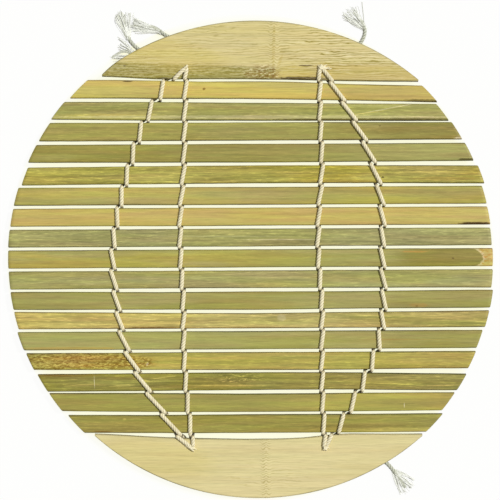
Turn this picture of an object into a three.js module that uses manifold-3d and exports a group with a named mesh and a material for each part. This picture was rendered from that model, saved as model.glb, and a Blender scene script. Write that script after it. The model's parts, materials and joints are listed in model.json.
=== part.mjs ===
import * as THREE from "three";
import { mergeVertices } from "three/addons/utils/BufferGeometryUtils.js";
import ManifoldModule from "manifold-3d";

// Round bamboo steamer mat: split slats twined together with cotton twine between two end boards.
// Millimetres, +X along the slats, +Y towards the top end board, +Z up.
// The origin is the centre of the disc on the surface that the mat lies on.

// Bamboo
const MAT_DIAMETER = 210;
const SLAT_WIDTH = 7.5;
const SLAT_GAP = 1.55;
const SLAT_THICKNESS = 2.4;
const EDGE_CHAMFER = 0.5;
const SLAT_FIELD_SHIFT = 0.4;
// One slat for each entry, from the top down. Split bamboo is uneven: the entry is how much wider
// or narrower that slat is. The end boards take up the rest of the round.
const SLAT_WIDTH_CHANGES = [
  -0.2, -0.2, 0, 0.3, 0.3, 0, 0, 0.1, 0, -0.2, 0.3, -0.6, 0, -0.4, -0.4, 0.5, 0.5,
];
// How far the left and the right end of each slat lie to the right of the round.
const SLAT_END_SHIFTS = [
  [0.4, 0.9], [-0.5, -0.3], [0.1, 0.4], [0, 0.7], [0.9, 1.6], [-0.1, 0.1], [0, 0], [-0.1, -0.3], [0, 0],
  [0.1, 0.1], [0, 1], [0, 0.9], [-1, 0.3], [-0.6, 0.7], [-0.1, 1.3], [0, 1.1], [1, 2.7],
];
// The end boards are cut by hand: how far the middle of each round edge lies to the right of the mat's
// centre, and how far its crown and its tips stay inside the round.
const END_BOARDS = {
  top: { end: 1, aside: 2.1, crownTrim: 1.9, tipTrim: 0.2 },
  bottom: { end: -1, aside: 3.5, crownTrim: 1.2, tipTrim: 0.6 },
};

// Cord holes in the end boards
const HOLE_DIAMETER = 4.2;
const HOLE_SETBACK = 4.6;
const HOLES = {
  top_left: { end: 1, x: -27.9, columns: ["outer_left", "inner_left"] },
  top_right: { end: 1, x: 30.5, columns: ["inner_right", "outer_right"] },
  bottom_left: { end: -1, x: -25.3, columns: ["outer_left", "inner_left"] },
  bottom_right: { end: -1, x: 32.2, columns: ["inner_right", "outer_right"] },
};

// Twine
const TWINE_DIAMETER = 1.8;
const STRAND_CLEARANCE = 0.2;
const SEAT_GAP = 0.3;
const TWINE_SINK = 0.12;
const FACE_PRESS = 0.8;
const WRAP_CROWN = 0.6;
const MEET_GAP = 0.3;
const LACING_RISE = 0.75;
const STEM_TURN = 0.72;
const STEM_SHOULDER = 0.18;
const STEM_OVERLAP = 0.36;
const STEM_SPREAD = 1.17;
const LACING_SIDES = 6;

// Twining columns: distance from the mat's centre line at even steps from the bottom gap up to the top
// gap. The sign of lean says which way the two strands turn.
const COLUMN_STATIONS = [-1, -0.75, -0.5, -0.25, 0, 0.25, 0.5, 0.75, 1];
const COLUMNS = {
  outer_left: { lean: -1, x: [-31, -44.2, -54.2, -57.8, -59.8, -57.4, -52.8, -46.5, -35.5] },
  inner_left: { lean: 1, x: [-25.5, -27.7, -28.9, -29, -30.2, -30.3, -28.9, -28.5, -28] },
  inner_right: { lean: 1, x: [32, 31.1, 31, 31, 29.4, 29.6, 31, 30.3, 30] },
  outer_right: { lean: -1, x: [36.7, 46.9, 55.2, 57.8, 57, 57.2, 53.8, 45.9, 35] },
};

// Knots under the end boards, and the free ends that leave them
const KNOT_HEIGHT = 2.4;
const KNOT_RING_RADIUS = 1.9;
const KNOT_CORD_RADIUS = 0.78;
const KNOT_LOBE_SHARE = 1.5;
const KNOT_STEPS = 24;
const KNOT_SIDES = 6;
const KNOTS = ["top_left", "top_right", "bottom_right"];
const TAIL_SIDES = 8;
const TAIL_STEP_DIAMETERS = 2.2;
const TAIL_LIFT = 0.05;
const TAILS = {
  tail_top_left_long: [
    [-31.3, 89.3], [-36.5, 90.4], [-42.6, 90.2], [-48, 90.9], [-51.3, 93.4], [-53.8, 97], [-56, 102],
    [-57.4, 106.2],
  ],
  tail_top_left_short: [
    [-24.2, 90], [-25.2, 93.4], [-29, 95.6], [-33, 95.9], [-36.9, 97.2], [-39.6, 99.3], [-42.4, 100.9],
    [-46.2, 101.6], [-51, 101.8],
  ],
  tail_top_left_brush: [
    [-32, 84.9], [-35, 83.9], [-39.8, 84.2], [-45, 85.8], [-49, 88.2], [-52.6, 90], [-56.2, 90.2],
    [-60.4, 87.9],
  ],
  tail_top_right: [
    [34, 89.3], [39.5, 89.6], [44.6, 90.8], [48, 94], [49.8, 98.2], [49, 102.6], [45, 107.2],
  ],
  tail_bottom_right: [
    [35.8, -88], [43, -88.2], [52, -87.8], [58, -88.4], [61.6, -91.6], [64.6, -95.8], [67.6, -100],
  ],
};

// Values that follow from the sizes above
const MAT_RADIUS = MAT_DIAMETER / 2;
const SLAT_COUNT = SLAT_WIDTH_CHANGES.length;
const FIELD_HALF = fieldLength(SLAT_COUNT) / 2;
const UNDERSIDE = KNOT_HEIGHT + SEAT_GAP;
const MIDDLE = UNDERSIDE + SLAT_THICKNESS / 2;
const TWINE_RADIUS = TWINE_DIAMETER / 2;
const FLAT_RADIUS = TWINE_RADIUS * Math.cos(Math.PI / 6);
const GAP_PRESS = (SLAT_GAP / 2 - SEAT_GAP) / FLAT_RADIUS;
const SIDE_STEP = (TWINE_DIAMETER + STRAND_CLEARANCE) / 2;
const PRESSED_HALF = FLAT_RADIUS * FACE_PRESS;

// Fineness of the faceted solids, and their colours
const WELD = 1e-4;
const SIMPLIFY = 0.02;
const END_BOARD_ARC_STEPS = 8;
const SLAT_COLOR = 0xb5a455;
const TOP_BOARD_COLOR = 0xc9ab62;
const BOTTOM_BOARD_COLOR = 0xd2bb7c;
const TWINE_COLOR = 0xe8e2d0;
const BAMBOO_ROUGHNESS = 0.55;
const TWINE_ROUGHNESS = 0.9;

const kernel = await ManifoldModule();
kernel.setup();
const { Manifold, Mesh } = kernel;

// A route that passes straight from point to point, one step to each.
class PointRoute extends THREE.Curve {
  constructor(points) {
    super();
    this.points = points;
  }

  getPoint(t) {
    const spans = this.points.length - 1;
    const index = Math.min(Math.max(Math.floor(t * spans), 0), spans - 1);
    return this.points[index].clone().lerp(this.points[index + 1], t * spans - index);
  }

  getPointAt(u) {
    return this.getPoint(u);
  }

  getTangentAt(u) {
    return this.getTangent(u);
  }
}

function circleShape(radius, sides) {
  const corners = [];
  for (let i = 0; i < sides; i += 1) {
    const angle = (i * 2 * Math.PI) / sides;
    corners.push(new THREE.Vector2(radius * Math.cos(angle), radius * Math.sin(angle)));
  }
  return new THREE.Shape(corners);
}

function welded(geometry) {
  const bare = new THREE.BufferGeometry();
  bare.setAttribute("position", geometry.getAttribute("position"));
  bare.setIndex(geometry.getIndex());
  return mergeVertices(bare, WELD);
}

function solidOf(geometry) {
  const clean = welded(geometry);
  const vertProperties = Float32Array.from(clean.getAttribute("position").array);
  const triVerts = Uint32Array.from(clean.getIndex().array);
  return new Manifold(new Mesh({ numProp: 3, vertProperties, triVerts }));
}

function geometryOf(solid) {
  const mesh = solid.getMesh();
  const geometry = new THREE.BufferGeometry();
  geometry.setAttribute("position", new THREE.BufferAttribute(Float32Array.from(mesh.vertProperties), 3));
  geometry.setIndex(Array.from(mesh.triVerts));
  return geometry;
}

// Section of twine drawn tight round a slat: wide where it lies on the bamboo, narrow on its outer side.
function wrapShape(face) {
  return new THREE.Shape([
    new THREE.Vector2(-TWINE_RADIUS, FLAT_RADIUS * face),
    new THREE.Vector2(-TWINE_RADIUS * WRAP_CROWN, -FLAT_RADIUS * face),
    new THREE.Vector2(TWINE_RADIUS * WRAP_CROWN, -FLAT_RADIUS * face),
    new THREE.Vector2(TWINE_RADIUS, FLAT_RADIUS * face),
  ]);
}

// A strand of twine through points across the slats and up, pressed flat on the faces and thin in the
// gaps. It slants from one place along the slats to another, with its ends in line with the gaps.
function strand(section, points, startX, endX) {
  const loose = points.map(([y, z]) => new THREE.Vector3(0, y / GAP_PRESS, z / FACE_PRESS));
  const geometry = new THREE.ExtrudeGeometry(section, {
    steps: loose.length - 1,
    extrudePath: new PointRoute(loose),
  });
  const startY = points[0][0];
  const slope = (endX - startX) / (points[points.length - 1][0] - startY);
  geometry.scale(1, GAP_PRESS, FACE_PRESS);
  geometry.applyMatrix4(new THREE.Matrix4().makeShear(0, 0, slope, 0, 0, 0));
  return solidOf(geometry.translate(startX - slope * startY, 0, 0));
}

// Length that the first slats take up, each with the gap below it.
function fieldLength(slats) {
  let length = 0;
  for (let i = 0; i < slats; i += 1) {
    length += SLAT_WIDTH + SLAT_WIDTH_CHANGES[i] + SLAT_GAP;
  }
  return length;
}

// Middle of the gap under a slat; gap 0 is between the top end board and the first slat.
function gapY(index) {
  return SLAT_FIELD_SHIFT + FIELD_HALF - fieldLength(index);
}

function columnX(name, index) {
  const route = new THREE.CubicInterpolant(COLUMN_STATIONS, COLUMNS[name].x, 1);
  return route.evaluate((gapY(index) - SLAT_FIELD_SHIFT) / FIELD_HALF)[0];
}

// Where a strand stands in a gap: face is 1 for the front strand and -1 for the back one,
// side is 1 for the piece above the gap and -1 for the piece below it.
function strandX(name, index, face, side) {
  return columnX(name, index) - face * side * COLUMNS[name].lean * SIDE_STEP;
}

function slatOutline(low, high, [left, right]) {
  const lowAngle = Math.asin(low / MAT_RADIUS);
  const highAngle = Math.asin(high / MAT_RADIUS);
  const shape = new THREE.Shape();
  shape.absarc(right, 0, MAT_RADIUS, lowAngle, highAngle, false);
  shape.absarc(left, 0, MAT_RADIUS, Math.PI - highAngle, Math.PI - lowAngle, false);
  shape.closePath();
  return shape;
}

function plate(shape, curveSegments) {
  const geometry = new THREE.ExtrudeGeometry(shape, {
    depth: SLAT_THICKNESS - 2 * EDGE_CHAMFER,
    curveSegments,
    bevelThickness: EDGE_CHAMFER,
    bevelSize: EDGE_CHAMFER,
    bevelOffset: -EDGE_CHAMFER,
    bevelSegments: 1,
  });
  return geometry.translate(0, 0, UNDERSIDE + EDGE_CHAMFER);
}

// One turn of twine over a face of a slat, from the gap above it to the gap below it.
function slatWrap(name, index, face) {
  const above = gapY(index - 1);
  const below = gapY(index);
  const inset = SLAT_GAP / 2 + TWINE_RADIUS;
  const meet = MIDDLE + face * (PRESSED_HALF + MEET_GAP / 2);
  const flat = MIDDLE + face * (SLAT_THICKNESS / 2 + PRESSED_HALF - TWINE_SINK);
  const points = [
    [above, meet],
    [above - inset, flat],
    [below + inset, flat],
    [below, meet],
  ];
  return strand(wrapShape(face), points, strandX(name, index - 1, face, -1), strandX(name, index, face, 1));
}

function slat(index) {
  const low = gapY(index) + SLAT_GAP / 2;
  const high = gapY(index - 1) - SLAT_GAP / 2;
  const pieces = [solidOf(plate(slatOutline(low, high, SLAT_END_SHIFTS[index - 1]), 1))];
  for (const name of Object.keys(COLUMNS)) {
    pieces.push(slatWrap(name, index, 1));
    pieces.push(slatWrap(name, index, -1));
  }
  return geometryOf(Manifold.union(pieces).simplify(SIMPLIFY));
}

function endGapY(end) {
  return gapY(end > 0 ? 0 : SLAT_COUNT);
}

function holeY(end) {
  return endGapY(end) + end * (SLAT_GAP / 2 + HOLE_SETBACK);
}

// An end board, drawn with its straight edge towards the mat's centre and turned round for the bottom.
function endBoard(side) {
  const { end, aside, crownTrim, tipTrim } = END_BOARDS[side];
  const chord = end * endGapY(end) + SLAT_GAP / 2;
  const half = Math.sqrt(MAT_RADIUS ** 2 - chord ** 2) - tipTrim;
  const rise = MAT_RADIUS - crownTrim - chord;
  const radius = (half ** 2 + rise ** 2) / (2 * rise);
  const centre = chord + rise - radius;
  const corner = Math.asin((chord - centre) / radius);
  const shape = new THREE.Shape();
  shape.absarc(end * aside, centre, radius, corner, Math.PI - corner, false);
  shape.closePath();
  for (const hole of Object.values(HOLES)) {
    if (hole.end === end) {
      const ring = new THREE.Path();
      ring.absarc(end * hole.x, end * holeY(end), HOLE_DIAMETER / 2, 0, 2 * Math.PI, true);
      shape.holes.push(ring);
    }
  }
  return plate(shape, END_BOARD_ARC_STEPS).rotateZ(end > 0 ? 0 : Math.PI);
}

// Twine through a cord hole: two strands on the front and two on the back, spread from the hole.
function lacing(corner) {
  const { end, x, columns } = HOLES[corner];
  const index = end > 0 ? 0 : SLAT_COUNT;
  const gap = endGapY(end);
  const hole = holeY(end);
  const pieces = [];
  for (const face of [1, -1]) {
    columns.forEach((name, order) => {
      const stemX = x + (order - 0.5) * STEM_SPREAD;
      const surface = MIDDLE + (face * SLAT_THICKNESS) / 2;
      const flat = surface + face * (PRESSED_HALF + SEAT_GAP);
      const over = SLAT_GAP / 2 + TWINE_RADIUS;
      const points = [
        [gap, MIDDLE + face * MEET_GAP],
        [gap, surface + face * LACING_RISE],
        [gap + end * over, flat],
        [hole - end * STEM_TURN, flat],
        [hole, surface + face * STEM_SHOULDER],
        [hole, MIDDLE - face * STEM_OVERLAP],
      ];
      const section = circleShape(TWINE_RADIUS, LACING_SIDES);
      pieces.push(strand(section, points, strandX(name, index, face, end), stemX));
    });
  }
  return geometryOf(Manifold.union(pieces).simplify(SIMPLIFY));
}

// A pulled-tight knot under an end board, one lobe towards its cord hole.
function knot(corner) {
  const { end, x } = HOLES[corner];
  const loose = KNOT_RING_RADIUS + 2 * KNOT_CORD_RADIUS;
  const reach = KNOT_RING_RADIUS * KNOT_LOBE_SHARE + KNOT_CORD_RADIUS;
  const away = reach + TWINE_RADIUS * GAP_PRESS + SEAT_GAP;
  return new THREE.TorusKnotGeometry(KNOT_RING_RADIUS, KNOT_CORD_RADIUS, KNOT_STEPS, KNOT_SIDES, 2, 3)
    .rotateZ((-end * Math.PI) / 2)
    .scale(1, 1, KNOT_HEIGHT / loose)
    .translate(x, holeY(end) + end * away, KNOT_HEIGHT / 2);
}

// A free end of twine that lies on the surface under the mat and past its rim.
function tail(points) {
  const lie = TWINE_RADIUS + TAIL_LIFT;
  const path = new THREE.CatmullRomCurve3(points.map(([x, y]) => new THREE.Vector3(x, y, lie)));
  const steps = Math.ceil(path.getLength() / (TAIL_STEP_DIAMETERS * TWINE_DIAMETER));
  return new THREE.ExtrudeGeometry(circleShape(TWINE_RADIUS, TAIL_SIDES), { steps, extrudePath: path });
}

const mat = new THREE.Group();
mat.name = "bamboo_steamer_mat";

function add(name, geometry, color, roughness) {
  const mesh = new THREE.Mesh(geometry, new THREE.MeshStandardMaterial({ color, roughness }));
  mesh.name = name;
  mat.add(mesh);
}

add("end_board_top", endBoard("top"), TOP_BOARD_COLOR, BAMBOO_ROUGHNESS);
for (let index = 1; index <= SLAT_COUNT; index += 1) {
  add(`slat_${String(index).padStart(2, "0")}`, slat(index), SLAT_COLOR, BAMBOO_ROUGHNESS);
}
add("end_board_bottom", endBoard("bottom"), BOTTOM_BOARD_COLOR, BAMBOO_ROUGHNESS);
for (const corner of Object.keys(HOLES)) {
  add(`lacing_${corner}`, lacing(corner), TWINE_COLOR, TWINE_ROUGHNESS);
}
for (const corner of KNOTS) {
  add(`knot_${corner}`, knot(corner), TWINE_COLOR, TWINE_ROUGHNESS);
}
for (const [name, points] of Object.entries(TAILS)) {
  add(name, tail(points), TWINE_COLOR, TWINE_ROUGHNESS);
}

export default mat;
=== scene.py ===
"""Bamboo steamer mat: split slats twined together with cotton twine between two end boards.

Metres, +X along the slats, +Y towards the top end board, +Z up out of the food side.
"""

import json
import math
import random

import bpy
import numpy as np
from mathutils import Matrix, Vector, noise


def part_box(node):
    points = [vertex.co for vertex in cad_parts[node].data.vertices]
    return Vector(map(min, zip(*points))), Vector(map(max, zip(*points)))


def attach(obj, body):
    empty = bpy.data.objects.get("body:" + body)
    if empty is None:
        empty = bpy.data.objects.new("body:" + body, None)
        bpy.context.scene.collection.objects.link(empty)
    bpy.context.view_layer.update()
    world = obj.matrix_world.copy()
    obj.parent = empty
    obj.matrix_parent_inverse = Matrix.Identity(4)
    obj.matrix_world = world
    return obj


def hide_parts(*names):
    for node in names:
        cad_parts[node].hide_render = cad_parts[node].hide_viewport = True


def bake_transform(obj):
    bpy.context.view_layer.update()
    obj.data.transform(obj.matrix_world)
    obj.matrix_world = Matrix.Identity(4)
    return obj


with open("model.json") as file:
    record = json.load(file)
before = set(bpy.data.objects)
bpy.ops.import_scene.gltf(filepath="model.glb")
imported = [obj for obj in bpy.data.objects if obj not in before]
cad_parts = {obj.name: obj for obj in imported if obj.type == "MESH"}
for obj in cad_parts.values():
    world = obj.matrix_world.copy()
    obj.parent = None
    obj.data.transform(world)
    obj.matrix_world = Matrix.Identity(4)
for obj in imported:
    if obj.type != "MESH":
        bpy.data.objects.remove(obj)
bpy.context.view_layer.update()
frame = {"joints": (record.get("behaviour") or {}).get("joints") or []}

MM = 0.001
ALONG = np.array([1.0, 0.0, 0.0])
UP = np.array([0.0, 0.0, 1.0])
RANDOM_SEED = 7

# Places that come from the frame
JOINTS = sorted(frame["joints"], key=lambda joint: -joint["pos_m"][1])
GAP_Y = [joint["pos_m"][1] for joint in JOINTS]
LAST_GAP = len(GAP_Y) - 1
MIDDLE = JOINTS[0]["pos_m"][2]
SLATS = [f"slat_{index:02d}" for index in range(1, LAST_GAP + 1)]
BOARD_LOW, BOARD_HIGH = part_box("end_board_top")
HALF_THICK = (BOARD_HIGH.z - BOARD_LOW.z) / 2
FACE = MIDDLE + HALF_THICK
HALF_GAP = BOARD_LOW.y - GAP_Y[0]
MAT_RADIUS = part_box("slat_09")[1].x

# Camera: straight above the mat
VIEW_WIDTH = 216.5 * MM
VIEW_CENTRE = (-0.2 * MM, 3.7 * MM)
LENS = 100
SENSOR = 36

# Gaps between the slats, from the top: how far the edges above and below each gap stand off its middle, in
# millimetres at even steps from left to right
EDGE_REACH = 80 * MM
EDGES = [
    ((2.1, 1.5, 0.5, 0.55, 0.45, 0.15, -0.25, -0.5, -0.7), (-0.1, 0.0, 0.3, 0.6, 0.5, 0.75, 1.5, 2.0, 2.5)),
    ((1.05, 0.9, 0.8, 0.15, -0.8), (0.6, 0.65, 0.95, 1.2, 1.45)),
    ((0.65, 0.25, 0.14, 0.14, 0.14), (0.8, 0.8, 0.6, 0.42, 0.48)),
    ((0.24, 1.04), (1.28, 0.48)),
    ((0.35, 0.4, 0.45, 0.78, 1.1), (1.6, 1.15, 0.8, 0.75, 0.85)),
    ((0.0, 0.45, 0.75, 0.9, 0.75), (1.15, 1.0, 0.85, 0.7, 0.4)),
    ((0.13, 0.93), (1.15, 0.35)),
    ((0.07, 0.87), (1.19, 0.39)),
    ((0.24, 1.04), (1.02, 0.22)),
    ((0.2, 1), (1.11, 0.31)),
    ((0.0, 0.35, 0.55, 0.6, 0.65), (1.2, 1.3, 1.05, 0.95, 0.45)),
    ((0.4, 0.5, 0.42, 0.9, 1.15), (0.7, 0.95, 1.1, 0.6, 0.1)),
    ((0.44, 1.24), (0.78, -0.02)),
    ((0.41, 1.21), (0.89, 0.09)),
    ((0.5, 0.5, 0.5, 0.62, 1.1), (1.3, 0.95, 0.6, 0.6, 1.05)),
    ((-0.2, 0.0, 0.5, 0.68, 0.4), (0.9, 1.0, 1.2, 0.9, 0.65)),
    ((0.8, 0.5, 0.55, 0.75, 1.15), (0.95, 0.9, 0.65, 0.48, 0.2)),
    ((1.0, 0.85, 1.0, 1.2, 1.4), (-1.0, -0.2, 0.9, 1.45, 1.75, 1.35, -0.4, -0.45, -0.6)),
]

# Bamboo bars
EDGE_ROUND = 0.45 * MM
END_ROUND = 0.22 * MM
ROUND_MOST = 0.4
CROWN = 0.12 * MM
SLAT_STATIONS = 150
SLAT_ROWS = 12
BOARD_STATIONS = 170
BOARD_ROWS = 40
ARC_STEPS = 3
SHARP_ANGLE = math.radians(50)
TIP_HEIGHT = 0.9 * MM
TIP_REACH = 1.1
TIP_TRIES = 40
RIM_REACH = 1.5 * MM

# Unevenness of the bars: how far edges and faces leave their plain shape, and its waves in a metre
EDGE_WANDER = 0.09 * MM
WANDER_WAVES = 28
EDGE_NICK = 0.05 * MM
NICK_WAVES = 170
NICK_SEED = 60
SEED_STEP = 7.31
SEED_PLANE = 0.5
FACE_RELIEF = 0.03 * MM
SLAT_WAVES = (60, 900)
SLAT_SEED_STEP = 3.7
BOARD_WAVES = (50, 700)

# End boards: growth rings across them, the rounded skin along the top board's inner edge, its worn tip
BOARD_NODES = {"top": 10.2 * MM, "bottom": 6.6 * MM}
NODE_RIDGE = 0.16 * MM
NODE_HALF = 1.4 * MM
NODE_WANDER = 1.2 * MM
NODE_WAVES = 90
NODE_SEED = 3
SKIN_WIDTH = 7 * MM
SKIN_DROP = 0.7 * MM
SKIN_END = 2 * MM
SKIN_FADE = 4 * MM
WORN_START = -56 * MM
WORN_LENGTH = 9 * MM
WORN_DEPTH = 1.2 * MM

# Cord holes of the end boards
HOLE_RADIUS = 0.95 * MM
HOLE_SETBACK = 4.4 * MM
HOLE_SIDES = 40
DRILL_REACH = 3 * HALF_THICK
HOLES = {
    "top_left": (0, -27.9 * MM, ("outer_left", "inner_left")),
    "top_right": (0, 30.5 * MM, ("inner_right", "outer_right")),
    "bottom_left": (LAST_GAP, -25.3 * MM, ("outer_left", "inner_left")),
    "bottom_right": (LAST_GAP, 32.2 * MM, ("inner_right", "outer_right")),
}

# Twine: three plies laid together, with half widths and heights on the faces and in the gaps
TWINE_RADIUS = 0.9 * MM
TWINE_LAY = 4.2 * MM
TWINE_PLIES = 3
TWINE_SIDES = 18
TWINE_STEP = 0.34 * MM
GROOVE_DEPTH = 0.17
GROOVE_SHARPNESS = 2.2
FACE_HALVES = (0.94 * MM, 0.68 * MM)
GAP_HALVES = (0.57 * MM, 0.66 * MM)
TWINE_PRESS = 0.1 * MM
TWINE_BEND = 0.95 * MM
BEND_MOST = 0.48
BEND_STEPS = 9
STEM_SPREAD = 0.9 * MM
STEM_DRAW = 0.1 * MM
LACING_SPLIT = 3.4 * MM
BLEND_HALF = 0.9 * MM
BEND_SHADE_START = 0.12
DEPTH_SHADE = 2
FULL_SHADE = 2

# Twining columns: which way the strands lean, how far they stand off the column's middle in a gap, and
# the column's places along the slats. Both are in millimetres at even steps from the bottom gap to the top.
COLUMNS = {
    "outer_left": (
        -1, (1.15, 1.2, 1.15, 1, 0.95, 1, 1.1, 1.35, 2.1),
        (-31, -44.2, -54.2, -57.8, -59.8, -57.4, -52.8, -46.5, -35.5),
    ),
    "inner_left": (1, (0.6, 0.6), (-25.5, -27.7, -28.9, -29, -30.2, -30.3, -28.9, -28.5, -28)),
    "inner_right": (1, (0.6, 0.6), (32, 31.1, 31, 31, 29.4, 29.6, 31, 30.3, 30)),
    "outer_right": (
        -1, (1.4, 1.5, 1.35, 1.05, 0.95, 1, 1.2, 1.05, 0.7),
        (36.7, 46.9, 55.2, 57.8, 57, 57.2, 53.8, 45.9, 35),
    ),
}

# Knots under the end boards
KNOTS = ("top_left", "top_right", "bottom_right")
KNOT_STEPS = 150
KNOT_TURNS = 2
KNOT_WAVES = 1.5
KNOT_RING = 1.9 * MM
KNOT_CORD = 0.78 * MM

# Free twine ends: the route of each one's middle on the surface in millimetres, the share of it that is
# still laid twine, the loose yarns to each frayed tip, and the tips
TAIL_HEIGHT = 0.95 * MM
TAIL_POINTS = 30
ROUTE_STEPS = 12
TAILS = {
    "tail_top_left_long": (
        [(-31.3, 89.3), (-36.5, 90.4), (-42.6, 90.2), (-48, 90.9), (-51.3, 93.4), (-53.8, 97), (-56, 102),
         (-57.4, 106.2)],
        0.72, 7, [(-58.8, 104.9), (-58.2, 106.3), (-57.1, 107.2), (-56, 107), (-55.1, 106.4), (-52.7, 107)],
    ),
    "tail_top_left_short": (
        [(-24.2, 90), (-25.2, 93.4), (-29, 95.6), (-33, 95.9), (-36.9, 97.2), (-39.6, 99.3), (-42.4, 100.9),
         (-46.2, 101.6), (-51, 101.8)],
        0.62, 9, [(-50.5, 104.5), (-50.7, 103.4), (-50.8, 102.2), (-52, 101), (-51.2, 99.4)],
    ),
    "tail_top_left_brush": (
        [(-32, 84.9), (-35, 83.9), (-39.8, 84.2), (-45, 85.8), (-49, 88.2), (-52.6, 90), (-56.2, 90.2),
         (-60.4, 87.9)],
        0.67, 3, [(-57.7, 95.8), (-57, 93.7), (-57.2, 91.7), (-59.3, 88.2), (-60.3, 87.3), (-57.5, 86.8)],
    ),
    "tail_top_right": (
        [(34, 89.3), (39.5, 89.6), (44.6, 90.8), (48, 94), (49.8, 98.2), (49, 102.6), (45, 107.2)],
        0.76, 4, [(40.9, 104.4), (40.9, 107), (42.4, 108), (43.8, 108.6), (45.3, 109.1), (44.3, 103.1)],
    ),
    "tail_bottom_right": (
        [(35.8, -88), (43, -88.2), (52, -87.8), (58, -88.4), (61.6, -91.6), (64.6, -95.8), (67.6, -100)],
        0.81, 4, [(65.6, -102.9), (67.4, -102), (69.4, -100.4), (70.5, -98.9), (71, -96.5)],
    ),
}
# Single stray hairs
HAIRS = {
    "tail_top_right": [[(49.8, 100), (49.4, 104), (49.1, 107), (48.6, 111.8)]],
}
# Short loose yarns at the cord holes: where they end, in millimetres from the hole
TUFTS = {
    "top_left": [(0.6, 1.0), (-0.9, 0.5)],
    "top_right": [(2.4, 0.7), (3.8, -0.2), (-1.2, 1.0), (0.4, 1.4)],
    "bottom_left": [(1.4, -0.9), (0.2, -1.3), (-1.5, -0.5), (-2.6, 0.6)],
    "bottom_right": [(-0.9, -1.1), (0.7, -1.2), (1.5, -0.4)],
}
TUFT_YARNS = 5
TUFT_RADII = (0.2 * MM, 0.14 * MM)
TUFT_SCATTER = 0.36 * MM
TUFT_RISE = 1.25 * MM
TUFT_FALL = 0.35 * MM

# Loose yarns and hairs of the frayed ends, with their radii at start and tip
HAIRS_PER_TIP = 3
YARN_RADII = (0.28 * MM, 0.2 * MM)
HAIR_RADII = (0.1 * MM, 0.1 * MM)
STRAY_RADII = (0.2 * MM, 0.2 * MM)
YARN_LOWEST = YARN_RADII[0]
YARN_SIDES = 6
YARN_POINTS = 16
TIP_SCATTER = 0.35 * MM
HAIR_SCATTER = 0.8 * MM
BRUSH_OVERLAP = 1.2 * MM
CORE_YARNS = 6
CORE_TURN = 1.7
CORE_OVERLAP = 4
CORE_SPREAD = 0.5 * MM
YARN_WAVE = 0.3 * MM
YARN_WAVES = (0.7, 1.9)
YARN_HEIGHT = 0.7 * MM
START_SCATTER = 0.4 * MM
START_FLAT = 0.7
TIP_HEIGHTS = (0.2 * MM, 1.2 * MM)
SPREAD_EARLY = 1.25
YARN_PALENESS = 4.0
STRAY_SHADE = 0.8
FIBRE_START = 1.0

# Look of the twine: its noises as for the bamboo, and the spans that shade it with their shares
TWINE_FIBRES = ((900, 9000, 300), 3.0, 0.6)
TWINE_CLOUDS = ((170, 170, 170), 2.0, 0.5)
GROOVE_SHADE = (0.5, 1.0, 0.0, 0.9)
FIBRE_SHADE = (0.48, 0.72, 0.0, 0.35)
CLOUD_SHADE = (0.45, 0.75, 0.0, 0.3)
GAP_SHADE = (1.0, 1.9, 0.0, 0.9)
# Where a tail greys from its knot towards its free end: painted shade, with some dirt
DIRT_AND_SHADE_SPAN = (2 * MM, 14 * MM)
TWINE_SURFACE = {"Roughness": 0.9, "Specular IOR Level": 0.2, "Sheen Weight": 0.25}
TWINE_BUMP = (0.5, 0.08 * MM)

# Light and floor
SUN_STRENGTH = 2.75
SUN_ANGLE = 7
SUN_TURN = (-14, 34)
SKY_STRENGTH = 0.28
SKY_COLOR = (1.0, 1.0, 1.0, 1.0)
FLOOR_SURFACE = {"Base Color": (0.86, 0.86, 0.84, 1.0), "Roughness": 0.9}
FLOOR_WHITE = (1.0, 1.0, 0.99, 1.0)
FLOOR_GLOW = 0.96
FLOOR_REACH = 40.0
BOUNCE_REACH = 8 * MM
BOUNCE_SAMPLES = 8
BOUNCE_SPAN = (0.3, 0.95)
BOUNCE_FADE = 2 * MM
BOUNCE_TINT = (1.0, 0.99, 0.74, 1.0)

# Tones of the bamboo and twine
TONES = {
    "straw": "#dfd29e", "honey": "#d9ca90", "gold": "#d1be6c", "ochre": "#c6b269", "lichen": "#bab072",
    "corn": "#b4a75a", "mustard": "#b4a34a", "sage": "#aaa464", "reed": "#a29d69", "olive": "#a49b58",
    "moss": "#9c934e", "bark": "#938843", "tongue": "#837a3c", "grain": "#917f2a", "tan": "#c0994f",
    "rust": "#86682c", "umber": "#54431f", "cream": "#e9ddb0", "twine": "#faf1cc",
    "twine_groove": "#c0b186", "tail": "#d4d6c4", "tail_groove": "#7a7c64", "fray": "#f6f7ee",
    "fray_shade": "#c0c1b2", "shade": "#4c4528",
}

# Each bar's tone at its left and right, the tone of its clouds, and how strong its pale flecks are
SLAT_TONES = [
    ("gold", "gold", "ochre", 0.1), ("sage", "sage", "olive", 0.3), ("olive", "moss", "olive", 0.2),
    ("moss", "sage", "olive", 0.15), ("corn", "mustard", "corn", 0.48), ("corn", "corn", "olive", 0.12),
    ("ochre", "ochre", "ochre", 0.08), ("reed", "reed", "sage", 0.4), ("corn", "olive", "sage", 0.13),
    ("sage", "sage", "reed", 0.28), ("olive", "olive", "sage", 0.1), ("ochre", "olive", "ochre", 0.38),
    ("sage", "olive", "sage", 0.1), ("corn", "corn", "corn", 0.3), ("bark", "moss", "moss", 0.45),
    ("olive", "corn", "moss", 0.12), ("moss", "moss", "moss", 0.24),
]
BOARD_TONES = {"top": ("honey", "honey", "honey", 0.04), "bottom": ("straw", "straw", "honey", 0.02)}
BOARD_SEED = 21
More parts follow.
